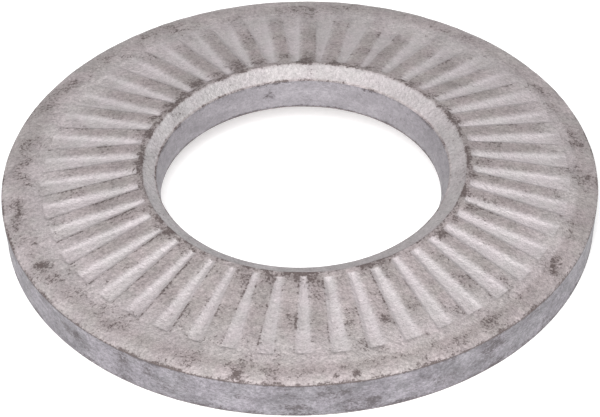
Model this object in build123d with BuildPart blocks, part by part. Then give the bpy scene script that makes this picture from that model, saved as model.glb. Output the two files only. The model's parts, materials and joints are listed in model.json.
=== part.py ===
from build123d import *

import os
from math import cos, pi, radians, sin, tan

# A conical lock washer, pressed from one flat ring of spring steel. It stands on its rim with
# the ribbed face up. Lengths are in millimetres, angles in degrees.

# The ring, dished so that its bore stands higher than its rim. Its thickness is measured
# square to its faces, and its bore at the narrow lower end.
outer_diameter = 30.0
bore_diameter = 14.1
thickness = 2.4
dish_angle = 11.5

# The rim's cut wall leans in towards its foot by this much
rim_lean = 0.25

# The bore is straight at its lower end. Above that its wall leans back towards the chamfer.
bore_land = 0.5
bore_lean = 0.3

# The chamfer round the top of the bore, at this angle to the ribbed face
chamfer_width = 0.82
chamfer_angle = 45.0

# The cut rolled two edges over: the rim's upper one and the bore's lower one
roll_width = 0.7
roll_drop = 0.14

# The corners of both walls are broken by one small radius
edge_radius = 0.1

# The ribs are what the grooves between them leave standing. Each rib keeps its width from end
# to end, so the grooves widen towards the rim.
rib_count = 45
rib_width = 0.85
ribbed_diameter = 26.5
bore_lip = 0.2
flank_angle = 18.0
groove_depth = 0.1

# Radii and slopes that follow from the sizes above
outer_radius = outer_diameter / 2
foot_radius = outer_radius - rim_lean
bore_radius = bore_diameter / 2
mouth_radius = bore_radius + bore_lean
chamfer_radius = mouth_radius + chamfer_width
groove_start = chamfer_radius + bore_lip
groove_end = ribbed_diameter / 2
dish = radians(dish_angle)
dish_slope = tan(dish)
chamfer_slope = tan(radians(chamfer_angle) - dish)
flank_slope = tan(radians(flank_angle))


def under_height(radius):
    """Height of the hollow underside over the rim's foot."""
    return dish_slope * (foot_radius - radius)


def top_height(radius):
    """Height of the conical top face."""
    return thickness / cos(dish) + under_height(radius)


# One groove along +X, as the wedge that the press pushes in. Its flanks meet in a V, which
# reaches a little above the top face so that it cuts cleanly.
mouth_spread = rib_width / 4
mouth_rise = mouth_spread * flank_slope

with BuildPart() as groove:
    for radius in (groove_start, groove_end):
        half_width = radius * tan(pi / rib_count) - rib_width / 2
        root = top_height(radius) - half_width * flank_slope
        mouth = top_height(radius) + mouth_rise
        with BuildSketch(Plane.YZ.offset(radius)):
            with BuildLine():
                Polyline(
                    (0, root),
                    (half_width + mouth_spread, mouth),
                    (-half_width - mouth_spread, mouth),
                    close=True,
                )
            make_face()
    loft(ruled=True)
    # The press goes in to one depth, so the wide outer part of the groove has a flat floor
    face = Plane(origin=(0, 0, top_height(0)), z_dir=(sin(dish), 0, cos(dish)))
    split(bisect_by=face.offset(-groove_depth), keep=Keep.TOP)

with BuildPart() as ring:
    # The ring's section, from the rim's foot round to the rim's wall
    with BuildSketch(Plane.XZ) as section:
        with BuildLine():
            foot = Vector(foot_radius, 0)
            roll_start = bore_radius + roll_width
            underside = Line(foot, (roll_start, under_height(roll_start)))
            heel = Vector(bore_radius, under_height(bore_radius) + roll_drop)
            TangentArc(underside @ 1, heel, tangent=underside % 1)
            land = Line(heel, heel + Vector(0, bore_land))
            crown = Vector(chamfer_radius, top_height(chamfer_radius))
            mouth = crown - chamfer_width * Vector(1, chamfer_slope)
            Line(land @ 1, mouth)
            Line(mouth, crown)
            roll_end = outer_radius - roll_width
            cone = Line(crown, (roll_end, top_height(roll_end)))
            brow = Vector(outer_radius, top_height(outer_radius) - roll_drop)
            TangentArc(cone @ 1, brow, tangent=cone % 1)
            Line(brow, foot)
        make_face()
        corners = [section.vertices().sort_by_distance(p)[0] for p in (foot, heel, mouth, brow)]
        fillet(corners, edge_radius)
    revolve(axis=Axis.Z)
    with PolarLocations(0, rib_count):
        add(groove.part, mode=Mode.SUBTRACT)

# Rounding the foot leaves it a hair above the ground, so the washer is set down on it
lock_washer = ring.part.moved(Location((0, 0, -ring.part.bounding_box().min.Z)))
lock_washer.label = "lock_washer"

os.makedirs("parts", exist_ok=True)
export_step(lock_washer, "parts/lock_washer.step")
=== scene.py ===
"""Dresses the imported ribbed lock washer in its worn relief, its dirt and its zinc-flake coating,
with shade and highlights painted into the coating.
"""
import json
import math

import bpy
import numpy as np
from mathutils import Matrix, Vector, noise


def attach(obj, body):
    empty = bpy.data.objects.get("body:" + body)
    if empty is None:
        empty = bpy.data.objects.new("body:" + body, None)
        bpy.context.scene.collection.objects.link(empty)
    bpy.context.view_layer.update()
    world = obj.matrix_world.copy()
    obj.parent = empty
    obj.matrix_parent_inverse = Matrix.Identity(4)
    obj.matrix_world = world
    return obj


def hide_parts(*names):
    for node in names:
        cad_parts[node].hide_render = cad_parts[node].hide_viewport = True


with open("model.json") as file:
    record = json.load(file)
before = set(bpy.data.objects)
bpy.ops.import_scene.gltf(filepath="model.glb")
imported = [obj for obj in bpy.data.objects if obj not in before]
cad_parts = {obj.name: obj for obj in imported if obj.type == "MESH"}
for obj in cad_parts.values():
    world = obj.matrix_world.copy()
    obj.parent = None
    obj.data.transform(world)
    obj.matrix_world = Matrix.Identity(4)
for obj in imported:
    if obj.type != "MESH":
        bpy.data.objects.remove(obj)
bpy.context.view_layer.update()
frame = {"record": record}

MM = 0.001
chance = np.random.default_rng(14)

# The washer's form in millimetres, as the solid has it
OUTER_RADIUS = 15.0
BORE_RADIUS = frame["record"]["mounts"][0]["dims"]["r_mm"]
THICKNESS = 2.4
DISH = math.radians(11.5)
RIM_LEAN = 0.25
BORE_LAND = 0.5
BORE_LEAN = 0.3
CHAMFER_WIDTH = 0.82
CHAMFER_SLOPE = math.tan(math.radians(45) - DISH)
ROLL_WIDTH = 0.7
ROLL_DROP = 0.14
EDGE_RADIUS = 0.1
RIB_COUNT = 45
RIB_WIDTH = 0.85
GROOVE_END = 13.25
BORE_LIP = 0.2
FLANK_SLOPE = math.tan(math.radians(18))
GROOVE_DEPTH = 0.1

FOOT_RADIUS = OUTER_RADIUS - RIM_LEAN
MOUTH_RADIUS = BORE_RADIUS + BORE_LEAN
CHAMFER_RADIUS = MOUTH_RADIUS + CHAMFER_WIDTH
GROOVE_START = CHAMFER_RADIUS + BORE_LIP
PITCH = 2 * math.pi / RIB_COUNT
WALL_LEAN = math.atan2(RIM_LEAN, THICKNESS)
# The rim stands on its rounded foot, a hair above the sharp corner that the foot replaces
FOOT_REACH = (math.sin(DISH) + math.cos(WALL_LEAN)) / math.cos(DISH - WALL_LEAN)
FOOT_DROP = EDGE_RADIUS * (FOOT_REACH - 1)

# How far off the axis the tools stood: the press that made the ribs, and the punch at the bore's
# upper and lower ends
PRESS_SHIFT = Vector((0.289, -0.13))
MOUTH_SHIFT = Vector((0.18, 0.04))
HEEL_SHIFT = Vector((0.055, 0.0))
# The chamfer was cut this much deeper on the far side
FAR_SINK = 0.09
# The press slid towards this side as it came down, so each groove has a crisp and a worn flank. The
# light comes from close to this side, and the flanks that face away from it get painted shade.
SLIDE_SIDE = math.radians(251)

# The washer's sides in degrees, as the photograph shows it
FAR, LEFT, NEAR, RIGHT = 90, 194, 270, 350

# Dirt marks that the photograph shows: angle in degrees, radius, size, darkness
FACE_MARKS = [
    (276.5, 9.5, 0.5, 0.75), (292.1, 11.5, 0.35, 0.85), (268.3, 10.8, 0.25, 0.7),
    (268.7, 11.8, 0.18, 0.6), (283.8, 11.5, 0.2, 0.45), (285.6, 12.6, 0.2, 0.5),
    (260.5, 14.6, 0.3, 1.0), (279.7, 14.6, 0.18, 0.9), (283.6, 14.6, 0.22, 1.0),
    (277.2, 14.3, 0.14, 0.9), (207.6, 14.2, 0.3, 0.9), (212.8, 14.25, 0.35, 0.9),
    (214.1, 13.9, 0.2, 0.9), (357.1, 8.45, 0.42, 1.0), (13.0, 11.85, 0.22, 0.8),
    (11.7, 12.7, 0.2, 0.7), (332.3, 9.9, 0.3, 0.85), (341.0, 8.8, 0.4, 0.9),
    (334.0, 8.5, 0.35, 0.9), (324.6, 8.5, 0.35, 0.9), (324.4, 12.6, 0.2, 0.6),
    (341.4, 11.1, 0.25, 0.5), (336.2, 13.9, 0.16, 1.1), (334.6, 14.2, 0.16, 1.1),
    (333.2, 14.45, 0.16, 1.1), (115.0, 8.75, 0.5, 0.9), (108.0, 8.75, 0.45, 0.9),
    (99.0, 9.0, 0.5, 0.8), (118.3, 9.3, 0.18, 0.8), (131.9, 8.6, 0.5, 0.85),
    (123.1, 8.7, 0.45, 0.8), (64.2, 13.1, 0.14, 0.8), (66.7, 13.9, 0.3, 0.55),
    (70.4, 14.5, 0.14, 0.7), (91.0, 13.6, 0.5, 0.45), (20.8, 14.0, 0.15, 0.7),
    (13.3, 14.4, 0.25, 0.7), (3.7, 14.5, 0.3, 0.7), (2.9, 13.5, 0.2, 0.5),
    (348.6, 13.6, 0.14, 0.8),
]
# The same on the cut walls: angle in degrees, height, size, darkness
WALL_MARKS = [
    (222.1, 1.5, 0.35, 0.8), (224.7, 1.4, 0.3, 0.7), (237.1, 1.35, 0.4, 0.8),
    (242.4, 1.5, 0.4, 0.8), (249.8, 1.7, 0.45, 0.5), (286.8, 0.7, 0.38, 1.2),
    (269.5, 1.4, 0.7, 0.45), (279.0, 1.5, 1.1, 0.5), (271.9, 0.7, 0.4, 0.5),
    (311.4, 1.8, 0.9, 0.6), (314.4, 1.6, 0.6, 0.6), (106.1, 2.5, 0.3, 0.9),
]

# Wear, in layers of half its depth, the size of its dips and the seed of its noise
FACE_WEAR = ((0.010, 1.6, 1), (0.006, 0.5, 2))
RIM_WEAR = ((0.008, 1.8, 3), (0.006, (0.8, 0.8, 0.25), 4))
BORE_WEAR = ((0.006, (0.8, 0.8, 0.25), 5),)
BROW_WEAR = ((0.02, 0.6, 7),)
# The edge between the face and the chamfer wanders in and out by this much
CROWN_WANDER = 0.03


def under_height(radius):
    """Height of the hollow underside."""
    return math.tan(DISH) * (FOOT_RADIUS - radius) - FOOT_DROP


def top_height(radius):
    """Height of the conical top face, without its grooves."""
    return THICKNESS / math.cos(DISH) + under_height(radius)


def smooth(low_end, high_end, value):
    """0 at the low end and beyond, 1 at the high end and beyond, and a smooth step between."""
    t = np.clip((value - low_end) / (high_end - low_end), 0, 1)
    return t * t * (3 - 2 * t)


def fall_off(distance, spread):
    """1 at no distance, down to nearly 0 at two spreads."""
    return np.exp(-(distance / spread) ** 2)


def towards(angle, side):
    """1 on the given side of the washer, 0 a quarter turn away and beyond."""
    return np.clip(np.cos(angle - math.radians(side)), 0, 1)


# The section, as points of radius and height

def straight(start, end, steps):
    """Points strictly between two points."""
    return [start.lerp(end, k / steps) for k in range(1, steps)]


def corner(before, tip, after, radius, steps):
    """The arc that rounds a corner."""
    a, b = (before - tip).normalized(), (after - tip).normalized()
    half = a.angle(b) / 2
    centre = tip + (a + b).normalized() * (radius / math.sin(half))
    start = tip + a * (radius / math.tan(half)) - centre
    sweep = start.angle_signed(tip + b * (radius / math.tan(half)) - centre)
    return [centre + Matrix.Rotation(-sweep * k / steps, 2) @ start for k in range(steps + 1)]


def rolled(start, heading, end, steps):
    """The arc that leaves a face in its own direction and ends at a point."""
    chord = end - start
    turn = 2 * heading.angle_signed(chord)
    points = []
    for k in range(steps + 1):
        part = k / steps
        reach = chord.length * math.sin(turn * part / 2) / math.sin(turn / 2)
        points.append(start + Matrix.Rotation(-turn * part / 2, 2) @ heading.normalized() * reach)
    return points


def on_cone(radii):
    """Points on the top face."""
    return [Vector((r, top_height(r))) for r in radii]


def section():
    """The ring's section in named stretches: from its foot inwards, up the bore, outwards over
    the face and down the wall. Each has its points, and the tool shift at its two ends."""
    still = Vector((0, 0))
    foot = Vector((FOOT_RADIUS, -FOOT_DROP))
    heel_start = Vector((BORE_RADIUS + ROLL_WIDTH, under_height(BORE_RADIUS + ROLL_WIDTH)))
    heel = Vector((BORE_RADIUS, under_height(BORE_RADIUS) + ROLL_DROP))
    land_end = heel + Vector((0, BORE_LAND))
    crown = Vector((CHAMFER_RADIUS, top_height(CHAMFER_RADIUS)))
    mouth = crown - CHAMFER_WIDTH * Vector((1, CHAMFER_SLOPE))
    brow_start = Vector((OUTER_RADIUS - ROLL_WIDTH, top_height(OUTER_RADIUS - ROLL_WIDTH)))
    brow = Vector((OUTER_RADIUS, top_height(OUTER_RADIUS) - ROLL_DROP))

    # The chamfer's two edges are crisper than the other corners
    heel_roll = rolled(heel_start, heel_start - foot, heel, steps=5)
    brow_roll = rolled(brow_start, brow_start - crown, brow, steps=8)
    foot_arc = corner(brow, foot, heel_start, EDGE_RADIUS, steps=3)
    heel_arc = corner(heel_roll[-2], heel, land_end, EDGE_RADIUS, steps=4)
    mouth_arc = corner(land_end, mouth, crown, EDGE_RADIUS * 0.7, steps=3)
    crown_arc = corner(mouth, crown, brow_start, EDGE_RADIUS * 0.6, steps=3)
    brow_arc = corner(brow_roll[-2], brow, foot, EDGE_RADIUS, steps=4)

    # Rows lie close together where one surface meets the next, and along the ribs
    underside = [foot_arc[-1].lerp(heel_start, k) for k in (0.02, 0.2, 0.4, 0.6, 0.8, 0.98)]
    land = straight(heel_arc[-1], land_end, steps=3) + [land_end]
    bore = land + straight(land_end, mouth_arc[0], steps=6)
    lip_radii = [GROOVE_START - 0.08, GROOVE_START]
    rib_radii = [*np.linspace(GROOVE_START + 0.06, GROOVE_END - 0.12, 31), GROOVE_END - 0.04]
    ring_radii = np.linspace(GROOVE_END + 0.02, brow_start.x, 8)

    # Points of the rolled edges that come too close to the arc at their ends are left out
    least_gap = 0.03
    heel_rows = [p for p in heel_roll if p.x > heel_arc[0].x + least_gap] + heel_arc
    roll_rows = [p for p in brow_roll[1:] if p.x < brow_arc[0].x - least_gap]
    return [
        ("foot", foot_arc, still, still),
        ("underside", underside, still, still),
        ("heel", heel_rows, still, HEEL_SHIFT),
        ("bore", bore, HEEL_SHIFT, MOUTH_SHIFT),
        ("mouth", mouth_arc, MOUTH_SHIFT, MOUTH_SHIFT),
        ("chamfer", straight(mouth_arc[-1], crown_arc[0], steps=8), MOUTH_SHIFT, PRESS_SHIFT),
        ("crown", crown_arc, PRESS_SHIFT, PRESS_SHIFT),
        ("lip", on_cone(lip_radii), PRESS_SHIFT, PRESS_SHIFT),
        ("ribs", on_cone(rib_radii), PRESS_SHIFT, PRESS_SHIFT),
        ("ring", on_cone(ring_radii), PRESS_SHIFT, still),
        ("roll", roll_rows, still, still),
        ("brow", brow_arc, still, still),
        ("wall", straight(brow_arc[-1], foot_arc[0], steps=14), still, still),
    ]


# Columns of vertices run from rim to bore, closest where a groove meets a rib. These are their
# places, as parts of half a groove and of half a rib.
IN_GROOVE = np.array([0, 0.2, 0.4, 0.58, 0.74, 0.88, 0.97])
ON_RIB = np.array([0.05, 0.3, 0.65])


def half_rib(radius, middle):
    """Half a rib's width. The press left the ribs wider at their outer ends on the near side,
    and narrower there on the left."""
    inner_end, length = 9, 4
    outer = np.clip((radius - inner_end) / length, 0, 1.1)
    left, near = towards(middle, LEFT), towards(middle, NEAR)
    at_outer_end = 0.08 * near - 0.05 * left
    at_inner_end = 0.02 * left - 0.01 * near
    return RIB_WIDTH / 2 + outer * at_outer_end + (1 - outer) * at_inner_end


def columns(radius, middle, width):
    """Angles of one pitch of columns, from the middle of one rib to that of the next."""
    held = np.clip(radius, GROOVE_START, GROOVE_END)
    edge = PITCH / 2 - np.arcsin((half_rib(held, middle) - width) / held)
    right = np.concatenate([edge * IN_GROOVE, edge + (PITCH / 2 - edge) * ON_RIB], axis=-1)
    end = np.full_like(edge, -PITCH / 2)
    return middle + np.concatenate([end, -right[..., :0:-1], right], axis=-1)


def soft_min(a, b, rounding):
    """The lesser of two values, with the change from one to the other rounded."""
    return -rounding * np.logaddexp(-a / rounding, -b / rounding)


def groove_form(radius, angle, middle, width, depth):
    """How far the pressed face lies under the cone, the distance across from the groove's edge,
    and how far the point is over on the worn flank, which faces the light.

    The flank on the side that the press slid towards is steep and crisp. The other one is worn
    back into a soft shoulder, most at its inner end."""
    slide = np.sin(SLIDE_SIDE - middle)
    skew = np.abs(slide) ** 0.5
    across = radius * np.sin(angle - middle) * np.sign(slide)
    along = radius * np.cos(angle - middle)
    reach = along * math.tan(math.pi / RIB_COUNT) - half_rib(along, middle) + width
    outwards = smooth(9.5, GROOVE_END, along)

    # The depth that each flank alone would give
    crisp = (reach - across) * FLANK_SLOPE * (1 + skew)
    worn_back = skew * (0.19 - 0.16 * outwards)
    worn_slope = FLANK_SLOPE * (1 + (0.25 + 0.35 * outwards) * skew)
    worn = (reach + worn_back + across) * worn_slope

    # The floor rises a little outwards and towards the worn flank, and on the far right the
    # grooves fade out before the rim's smooth ring
    on_worn_half = np.clip(0.5 - across / (2 * np.maximum(reach, 0.05)), 0, 1)
    tilt = 0.4 * skew * outwards * on_worn_half
    far_right = smooth(-0.2, 0.5, np.cos(middle - math.radians(50)))
    fade = 1 - 0.9 * far_right * smooth(GROOVE_END - 0.8, GROOVE_END, along)
    floor = GROOVE_DEPTH * depth * (1.3 - 0.25 * outwards - tilt) * fade

    floor_rounding = 0.014
    shoulder = 0.010 + 0.014 * skew * (1 - 0.6 * outwards)
    trough = soft_min(worn, floor, floor_rounding)
    rounded = shoulder * np.logaddexp(0, trough / shoulder)
    sharp = np.maximum(crisp, 0)
    form = np.where(across > 0, np.minimum(np.minimum(sharp, floor), rounded),
                    np.minimum(rounded, sharp))
    start = smooth(GROOVE_START, GROOVE_START + 0.15, radius)
    lit = skew * smooth(0, -0.15, across)
    return form * start, np.abs(across) - reach, lit


def near_outer_ends(radius):
    """1 round the outer ends of the grooves, 0 away from them."""
    return smooth(12.2, 13.2, radius) * (1 - smooth(13.3, 14.0, radius))


def near_inner_ends(radius):
    """1 round the inner ends of the grooves, 0 away from them."""
    return smooth(8.2, 8.35, radius) * (1 - smooth(8.6, 9.4, radius))


def lay_out():
    """The grid of vertices, one row for each point of the section, with what the wear needs:
    the angle and radius that each had before the tool shift, its distance from the groove's edge,
    how far it is on the worn flank that faces the light, where a highlight is painted, and its
    row's stretch."""
    middle = (np.arange(RIB_COUNT) * PITCH)[:, None]
    # Each groove is a little wider, deeper or longer than the next
    width = chance.normal(0, 0.02, RIB_COUNT)[:, None]
    depth = chance.normal(1, 0.1, RIB_COUNT)[:, None]
    end_shift = chance.normal(0, 0.04, RIB_COUNT)[:, None] + 0.03 + 0.2 * np.sin(middle)
    start_shift = chance.normal(0.03, 0.04, RIB_COUNT)[:, None]
    grid = {key: [] for key in ("place", "angle", "radius", "edge", "lit", "stretch")}
    for stretch, points, shift_in, shift_out in section():
        for k, point in enumerate(points):
            angle = columns(point.x, middle, width)
            radius = np.full_like(angle, point.x)
            height = np.full_like(angle, point.y)
            pressed, edge, lit = np.zeros_like(angle), np.ones_like(angle), np.zeros_like(angle)
            if stretch in ("lip", "ribs", "ring"):
                radius += end_shift * near_outer_ends(radius)
                radius += start_shift * near_inner_ends(radius)
                height = top_height(radius)
            if stretch == "ribs":
                pressed, edge, lit = groove_form(point.x, angle, middle, width, depth)
            share = k / max(len(points) - 1, 1)
            if stretch == "ring":
                share = smooth(13.4, 14.2, point.x)
            sink = {"bore": share, "mouth": 1, "chamfer": 1 - share}.get(stretch, 0)
            height = height - FAR_SINK * sink * towards(angle, FAR) - pressed
            shift = shift_in.lerp(shift_out, share)
            place = [radius * np.cos(angle) + shift.x, radius * np.sin(angle) + shift.y, height]
            grid["place"].append(np.stack(place, axis=-1).reshape(-1, 3))
            grid["angle"].append(angle.ravel())
            grid["radius"].append(radius.ravel())
            grid["edge"].append(edge.ravel())
            grid["lit"].append(lit.ravel())
            grid["stretch"].append(stretch)
    return {key: np.array(value) for key, value in grid.items()}


def grain(places, size, seed):
    """Smooth noise from -1 to 1 with features of about this size in millimetres. Each seed reads
    it at another place."""
    away = np.array([17.3, 5.1, 9.7]) * seed
    flat = places.reshape(-1, 3) / np.broadcast_to(size, 3) + away
    return np.array([noise.noise(p) for p in flat.tolist()]).reshape(places.shape[:-1])


def wear(places, layers):
    """How deep the layers of wear go at these places."""
    return sum(depth * (1 + grain(places, size, seed)) for depth, size, seed in layers)


def roughen(grid):
    """Wears the pressed and cut surfaces. The face and the rim only move inwards, so the washer
    keeps its size."""
    place, stretch = grid["place"], grid["stretch"]
    face = np.isin(stretch, ("chamfer", "lip", "ribs", "ring", "roll"))
    place[face, :, 2] -= wear(place[face], FACE_WEAR)
    rim = np.isin(stretch, ("brow", "wall"))
    place[rim, :, :2] *= 1 - wear(place[rim], RIM_WEAR)[..., None] / OUTER_RADIUS
    bore = np.isin(stretch, ("bore", "mouth"))
    place[bore, :, :2] *= 1 + wear(place[bore], BORE_WEAR)[..., None] / BORE_RADIUS
    crown = stretch == "crown"
    wander = CROWN_WANDER * grain(place[crown], 0.7, 6)
    place[crown, :, :2] *= 1 + wander[..., None] / CHAMFER_RADIUS
    brow = stretch == "brow"
    place[brow, :, 2] -= wear(place[brow], BROW_WEAR)


def by_stretch(grid, values, rest):
    """Gives every vertex the value of its stretch: one number, or one for each vertex. The
    stretches that aren't named get the rest."""
    shape = grid["radius"].shape
    whole = {name: np.broadcast_to(value, shape) for name, value in values.items()}
    rest = np.broadcast_to(rest, shape)
    return np.array([whole.get(name, rest)[k] for k, name in enumerate(grid["stretch"])])


def near_marks(marks, angle, radius, level, flatness):
    """The darkest nearby mark. Marks on a wall lie along it."""
    found = np.zeros_like(angle)
    for mark_angle, mark_level, size, darkness in marks:
        turn = np.angle(np.exp(1j * (angle - math.radians(mark_angle))))
        apart = np.hypot(radius * turn, (level - mark_level) / flatness)
        found = np.maximum(found, darkness * fall_off(apart, size))
    return found


def dirt_and_shade(grid):
    """How dirty each vertex is, from 0 to about 1, with painted shade added along the grooves' shaded
    flanks and where the washer meets the floor.
    """
    angle, radius, edge = grid["angle"], grid["radius"], grid["edge"]
    height = grid["place"][..., 2]
    coarse = grain(grid["place"], 0.8, 8)

    # Most of it lies where the ribs' inner ends meet the chamfer, on the near left and far sides
    near_left, far_left, inner_end = 225, 110, 8.3
    grimy = 0.4 + 0.35 * towards(angle, near_left) + 0.4 * towards(angle, far_left)
    spread = 0.2 + 0.38 * (1 + coarse) * grimy
    on_rib = smooth(-0.05, 0.08, edge)
    inner = fall_off(np.maximum(radius - inner_end, 0), spread) * (0.3 + 0.7 * on_rib)
    inner = np.clip(inner * grimy * (0.8 + 1.1 * coarse), 0, 0.52)
    rib_end = 0.5 - 0.5 * np.cos(RIB_COUNT * angle)
    crown = 0.45 + 0.4 * rib_end * grimy + 0.4 * coarse

    # A thin dark line runs along the top of each crisp flank, strongest on the near left, and a faint
    # one along the other flank where the grooves run along the light's direction. It is painted shade
    # on the flanks that face away from the light, with some dirt at their feet.
    shade_line_side = 242
    side = np.sign(np.sin(angle - np.round(angle / PITCH) * PITCH))
    # Above 0 on a flank that faces away from the light, where shade is painted
    away_from_light = np.sin(SLIDE_SIDE - angle) * side
    strength = 0.25 + 0.5 * np.clip(away_from_light, 0, 1) ** 0.5 * towards(angle, shade_line_side) ** 2
    flank_shade_and_dirt = fall_off(edge - 0.02, 0.05) * strength * (away_from_light > -0.3)

    # The rim's smooth ring is stained near its edge, and the wall is darkened towards its foot as
    # painted shade where it meets the floor
    band = fall_off(radius - 14.1, 0.4) * (0.2 + 0.3 * coarse)
    foot_shade = 0.8 * fall_off(height, 0.22)

    # The cut edges get thin dark lines: along the brow and the mouth, and along the heel, the bore's
    # lower edge by the floor, as painted shade
    brow_line = top_height(OUTER_RADIUS) - ROLL_DROP - 0.03
    brow = np.where(height < brow_line, 0.9 + 0.3 * coarse, 0.4)
    heel = np.where(radius < BORE_RADIUS + 0.15, 0.7, 0.15)
    mouth = 0.38 + 0.5 * coarse

    # The foot, where the washer stands on the floor, gets painted shade too
    found = by_stretch(grid, {
        "foot": 0.55, "underside": 0.1, "heel": heel, "mouth": mouth, "crown": crown,
        "lip": inner, "ribs": np.maximum(inner, flank_shade_and_dirt), "ring": band, "roll": band,
        "brow": brow, "wall": foot_shade,
    }, rest=0)
    face_marks = 0.8 * near_marks(FACE_MARKS, angle, radius, radius, 1)
    wall_marks = 1.1 * near_marks(WALL_MARKS, angle, radius, height, 0.8)
    marks = by_stretch(grid, {
        "underside": 0, "wall": wall_marks, "bore": wall_marks,
    }, rest=face_marks)
    return np.clip(np.maximum(found, marks), 0, 0.9)


def clean_and_highlight(grid):
    """How whole the coating is, from 0 to about 1, with a painted highlight added down the
    light-facing flank of each groove: the grooves keep the most of it, and the ribs' tops the least.
    On the cut walls it tells the bore from the rim."""
    radius, angle, edge, lit = grid["radius"], grid["angle"], grid["edge"], grid["lit"]

    # The face is worn least round the grooves' outer ends, and the chamfer on the left
    near_left, near_right, left = 255, 290, 195
    near = towards(angle, near_left)
    groove_ends = smooth(12.6, 13.4, radius)
    rim_edge = smooth(14.3, 14.6, radius)
    face = 0.42 * smooth(11.2, 13.0, radius) - 0.3 * smooth(13.5, 14.1, radius)
    face = face + groove_ends * (0.13 - 0.28 * towards(angle, near_right))
    face = face + (0.02 + 0.2 * rim_edge) * near
    base = by_stretch(grid, {
        "lip": 0.05, "ribs": face, "ring": face, "roll": face,
        "chamfer": 0.6 + 0.4 * towards(angle, left), "wall": 0, "bore": 1,
    }, rest=0.3)

    # In the grooves it is nearly whole; down the worn flank, which faces the light, a painted
    # highlight makes it brighter still and reaches further out onto the rib's edge
    outer = smooth(11.8, 13.0, radius)
    whole = 0.8 - 0.18 * outer + 0.12 * towards(angle, RIGHT)
    whole = whole + (0.45 - 0.2 * outer) * lit * fall_off(edge, 0.22)
    in_groove = smooth(0.12 + 0.3 * lit, -0.12, edge)
    return base + (whole - base) * in_groove


# Materials

class Paint:
    """A material's nodes, with short names for what this script needs of them."""

    def __init__(self, name):
        self.material = bpy.data.materials.new(name)
        self.material.use_nodes = True
        self.tree = self.material.node_tree
        self.shader = self.tree.nodes["Principled BSDF"]
        metres = self.add("ShaderNodeTexCoord").outputs["Object"]
        millimetres = {0: metres, 1: (1 / MM,) * 3}
        self.place = self.add("ShaderNodeVectorMath", millimetres, operation="MULTIPLY").outputs[0]

    def add(self, kind, inputs=None, **settings):
        """A new node, with its settings, and a value or a link for each input."""
        node = self.tree.nodes.new(kind)
        for key, value in settings.items():
            setattr(node, key, value)
        for key, value in (inputs or {}).items():
            self.feed(node.inputs[key], value)
        return node

    def feed(self, socket, value):
        """Links a node's output to the socket, or sets a value on it."""
        if isinstance(value, bpy.types.NodeSocket):
            self.tree.links.new(value, socket)
        else:
            socket.default_value = value

    def noise(self, size, detail=3.0, roughness=0.6, stretch=(1, 1, 1), seed=0.0):
        """Noise around 0.5, with its largest features about this many millimetres across."""
        move = {"Vector": self.place, "Location": (seed, seed * 2, seed * 3), "Scale": stretch}
        spot = self.add("ShaderNodeMapping", move).outputs[0]
        inputs = {"Vector": spot, "Scale": 1 / size, "Detail": detail, "Roughness": roughness}
        return self.add("ShaderNodeTexNoise", inputs).outputs["Fac"]

    def cover(self, name):
        """What dirt() or clean() gave each vertex."""
        return self.add("ShaderNodeAttribute", attribute_name=name).outputs["Fac"]

    def math(self, operation, a, b):
        """One step of arithmetic."""
        return self.add("ShaderNodeMath", {0: a, 1: b}, operation=operation).outputs[0]

    def span(self, value, low_end, high_end, low=0.0, high=1.0):
        """Takes the value from one range to another, smoothly."""
        ends = {"From Min": low_end, "From Max": high_end, "To Min": low, "To Max": high}
        kind = "SMOOTHSTEP"
        node = self.add("ShaderNodeMapRange", {"Value": value, **ends}, interpolation_type=kind)
        return node.outputs["Result"]

    def blend(self, share, first, second):
        """A mix of two colours, each an output or red, green and blue."""
        node = self.add("ShaderNodeMix", data_type="RGBA")
        factor, a, b = node.inputs[0], node.inputs[6], node.inputs[7]
        self.feed(factor, share)
        for socket, colour in ((a, first), (b, second)):
            self.feed(socket, (*colour, 1) if isinstance(colour, tuple) else colour)
        return node.outputs[2]

    def mottled(self, colour, noise, amount):
        """Brightens and darkens a colour by the noise."""
        off = self.math("MULTIPLY", self.math("SUBTRACT", noise, 0.5), amount)
        inputs = {0: colour, "Scale": self.math("ADD", off, 1.0)}
        return self.add("ShaderNodeVectorMath", inputs, operation="SCALE").outputs[0]

    def speckled(self, amount, noise):
        """Covers about this share of the surface, in specks as fine as the noise."""
        widened = {"Value": noise, "From Min": 0.3, "From Max": 0.7}
        even = self.add("ShaderNodeMapRange", widened).outputs["Result"]
        return self.span(self.math("ADD", even, amount), 0.95, 1.5, high=0.88)

    def finish(self, colour, roughness, height, bump):
        """The material, with a bump of this depth in millimetres."""
        relief = {"Height": height, "Distance": bump * MM, "Strength": 1.0}
        self.feed(self.shader.inputs["Base Color"], colour)
        self.feed(self.shader.inputs["Roughness"], roughness)
        self.feed(self.shader.inputs["Normal"], self.add("ShaderNodeBump", relief).outputs[0])
        self.feed(self.shader.inputs["Metallic"], 0.3)
        return self.material


# Colours of the coating, most in two hues that broad noise mixes
FACE_WORN = ((0.347, 0.299, 0.302), (0.332, 0.298, 0.292))
FACE_WHOLE = ((0.502, 0.456, 0.470), (0.488, 0.456, 0.461))
CHAMFER_WORN = ((0.342, 0.297, 0.303), (0.330, 0.297, 0.296))
CHAMFER_WHOLE = ((0.483, 0.453, 0.464), (0.474, 0.453, 0.457))
RIM_WALL = ((0.236, 0.219, 0.242), (0.228, 0.215, 0.233))
BORE_WALL = (0.285, 0.266, 0.286)
# Grime lies in specks, and a stain is an even tint round them. The same colours also paint shade
# along the grooves' shaded flanks and where the washer meets the floor.
GRIME_AND_SHADE = (0.098, 0.073, 0.070)
STAIN_AND_SHADE = (0.215, 0.175, 0.170)
WALL_GRIME_AND_SHADE = (0.088, 0.074, 0.079)
WALL_STAIN_AND_SHADE = (0.165, 0.148, 0.160)


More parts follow.
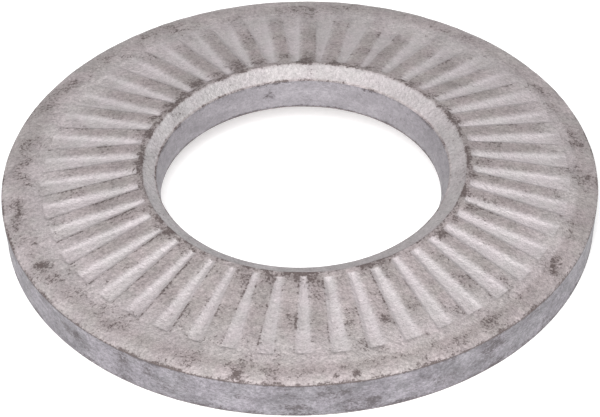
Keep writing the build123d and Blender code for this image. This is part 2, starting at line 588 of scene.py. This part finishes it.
def face_coating(name, worn, whole, mottling):
    """The upper face's dull coating, with the dirt that it holds and the shade and highlight painted
    into it. The mottling has two strengths:
    where the coating is worn, and where it is whole."""
    p = Paint(name)
    wholeness_and_highlight = p.cover("clean_and_highlight")
    hue = p.span(p.noise(1.4, seed=3.1), 0.36, 0.64)
    colour = p.blend(wholeness_and_highlight, p.blend(hue, *worn), p.blend(hue, *whole))
    uneven = p.span(wholeness_and_highlight, 0.4, 1.0, *mottling)
    clouds = p.noise(2.4, detail=6.0, roughness=0.85, seed=7.7)
    grit = p.noise(0.16, roughness=0.85, seed=31.0)
    colour = p.mottled(colour, clouds, p.math("MULTIPLY", uneven, 1.15))
    colour = p.mottled(colour, grit, p.math("MULTIPLY", uneven, 1.6))

    patches = p.span(p.noise(1.3, detail=2.0, seed=21.0), 0.42, 0.66, high=0.45)
    # The dirt mask also carries painted shade along the grooves' shaded flanks and at the foot and
    # heel, which goes into the same specks and stain
    amount = p.math("ADD", p.cover("dirt_and_shade"), p.math("MULTIPLY", uneven, patches))
    soil_and_shade = p.speckled(amount, p.noise(0.14, detail=2.0, roughness=0.8, seed=12.0))
    colour = p.blend(p.span(amount, 0.05, 1.1, high=0.5), colour, STAIN_AND_SHADE)
    colour = p.blend(soil_and_shade, colour, GRIME_AND_SHADE)

    height = p.noise(0.2, roughness=0.75, seed=9.0)
    height = p.math("SUBTRACT", height, p.math("MULTIPLY", soil_and_shade, 0.4))
    roughness = p.span(p.noise(0.6, seed=15.0), 0.3, 0.7, low=0.5, high=0.68)
    return p.finish(colour, roughness, height, bump=0.075)


def wall_coating():
    """The cut walls' cooler grey, with streaks that run round the washer. The bore is paler and
    more even than the rim."""
    p = Paint("coated_wall")
    in_bore = p.cover("clean_and_highlight")
    hue = p.span(p.noise(2.0, detail=2.0, seed=4.0), 0.4, 0.6)
    colour = p.blend(in_bore, p.blend(hue, *RIM_WALL), BORE_WALL)
    streaks = p.noise(1.6, detail=6.0, roughness=0.85, stretch=(1, 1, 1.8), seed=2.0)
    grit = p.noise(0.17, roughness=0.85, stretch=(1, 1, 1.3), seed=33.0)
    colour = p.mottled(p.mottled(colour, streaks, 2.6), grit, 2.0)
    colour = p.blend(p.math("MULTIPLY", in_bore, 0.55), colour, BORE_WALL)

    patches = p.span(p.noise(1.5, detail=2.0, stretch=(1, 1, 2), seed=23.0), 0.42, 0.66)
    dusty = p.span(in_bore, 0.0, 1.0, low=0.56, high=0.3)
    # The dirt mask also carries painted shade at the wall's foot, by the floor
    amount = p.math("ADD", p.cover("dirt_and_shade"), p.math("MULTIPLY", dusty, patches))
    specks = p.noise(0.16, detail=2.0, roughness=0.8, stretch=(1, 1, 1.5), seed=8.0)
    colour = p.blend(p.span(amount, 0.05, 1.1, high=0.4), colour, WALL_STAIN_AND_SHADE)
    colour = p.blend(p.speckled(amount, specks), colour, WALL_GRIME_AND_SHADE)

    height = p.noise(0.25, roughness=0.75, stretch=(1, 1, 2), seed=11.0)
    roughness = p.span(p.noise(0.6, seed=15.0), 0.3, 0.7, low=0.5, high=0.65)
    return p.finish(colour, roughness, height, bump=0.06)


def washer_mesh():
    """The dressed washer: the grid closed both ways, with its wear, dirt, coatings and painted shade
    and highlights.
    """
    grid = lay_out()
    roughen(grid)
    rows, across = grid["radius"].shape
    here = np.arange(rows * across).reshape(rows, across)
    ahead = np.roll(here, -1, axis=0)
    faces = np.stack([ahead, np.roll(ahead, -1, axis=1), np.roll(here, -1, axis=1), here], axis=-1)
    mesh = bpy.data.meshes.new("lock_washer_dressed")
    places = grid["place"].reshape(-1, 3) * MM
    mesh.from_pydata(places.tolist(), [], faces.reshape(-1, 4).tolist())
    for title, values in (("clean_and_highlight", clean_and_highlight(grid)), ("dirt_and_shade", dirt_and_shade(grid))):
        layer = mesh.attributes.new(title, "FLOAT", "POINT")
        layer.data.foreach_set("value", values.ravel())

    # The faces that touch a cut wall's vertices have its coating too
    mesh.materials.append(face_coating("coated_face", FACE_WORN, FACE_WHOLE, (1.0, 0.45)))
    mesh.materials.append(wall_coating())
    mesh.materials.append(
        face_coating("coated_chamfer", CHAMFER_WORN, CHAMFER_WHOLE, (0.65, 0.85)))
    on_face, on_wall, on_chamfer = range(3)
    stretch, walls = grid["stretch"], ("wall", "bore")
    cut = np.isin(stretch, walls) | np.isin(np.roll(stretch, -1), walls)
    coating = np.where(cut, on_wall, np.where(stretch == "chamfer", on_chamfer, on_face))
    mesh.polygons.foreach_set("material_index", np.repeat(coating, across).astype(np.int32))
    mesh.shade_smooth()
    return mesh


# The studio

FRAME_WIDTH = 600  # the photograph's, in pixels


def direction(azimuth, elevation):
    """The way from the washer to a light or the camera. Azimuth -90 is the near side."""
    a, e = math.radians(azimuth), math.radians(elevation)
    return Vector((math.cos(a) * math.cos(e), math.sin(a) * math.cos(e), math.sin(e)))


def pale_floor():
    """A white table, lit a little from inside."""
    bpy.ops.mesh.primitive_plane_add(size=4)
    floor = bpy.context.object
    floor.name = "floor"
    material = bpy.data.materials.new("floor_paint")
    material.use_nodes = True
    shader = material.node_tree.nodes["Principled BSDF"]
    shader.inputs["Base Color"].default_value = (0.85, 0.85, 0.85, 1)
    shader.inputs["Roughness"].default_value = 0.9
    shader.inputs["Emission Color"].default_value = (1, 1, 1, 1)
    shader.inputs["Emission Strength"].default_value = 0.35
    floor.data.materials.append(material)


def surround():
    """An even white light from all round."""
    world = bpy.data.worlds.new("studio")
    bpy.context.scene.world = world
    world.use_nodes = True
    world.node_tree.nodes["Background"].inputs["Color"].default_value = (1, 1, 1, 1)
    world.node_tree.nodes["Background"].inputs["Strength"].default_value = 0.42


def soft_light(name, azimuth, elevation, distance, size, power):
    """A square softbox that faces the washer."""
    data = bpy.data.lights.new(name, "AREA")
    data.size = size
    data.energy = power
    light = bpy.data.objects.new(name, data)
    light.location = direction(azimuth, elevation) * distance
    light.rotation_euler = (-light.location).to_track_quat("-Z", "Y").to_euler()
    bpy.context.scene.collection.objects.link(light)


def camera(azimuth, elevation, roll, distance, right, below, focal_pixels):
    """The photograph's view, as the ellipses of the rim and the bore and the ribs' directions
    give it. The middle of the washer's foot lies this far right of and below the middle of the
    picture, in millimetres, as the distance is."""
    back = direction(azimuth, elevation)
    level = (-back).to_track_quat("-Z", "Y").to_matrix()
    turn = level @ Matrix.Rotation(-math.radians(roll), 3, "Z")
    place = back * distance + turn @ Vector((-right, below, 0))
    data = bpy.data.cameras.new("camera")
    data.lens = focal_pixels / FRAME_WIDTH * data.sensor_width
    data.clip_start = 0.01
    view = bpy.data.objects.new("camera", data)
    view.matrix_world = Matrix.Translation(place * MM) @ turn.to_4x4()
    bpy.context.scene.collection.objects.link(view)
    bpy.context.scene.camera = view


washer = bpy.data.objects.new("lock_washer_dressed", washer_mesh())
bpy.context.scene.collection.objects.link(washer)
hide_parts("lock_washer")
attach(washer, "root")

pale_floor()
surround()
soft_light("key", azimuth=-93, elevation=50, distance=0.5, size=0.3, power=3.4)
camera(azimuth=-86.51, elevation=40.17, roll=1.388, distance=391.3, right=0.02, below=0.655,
       focal_pixels=7767)
bpy.context.scene.view_settings.view_transform = "Standard"
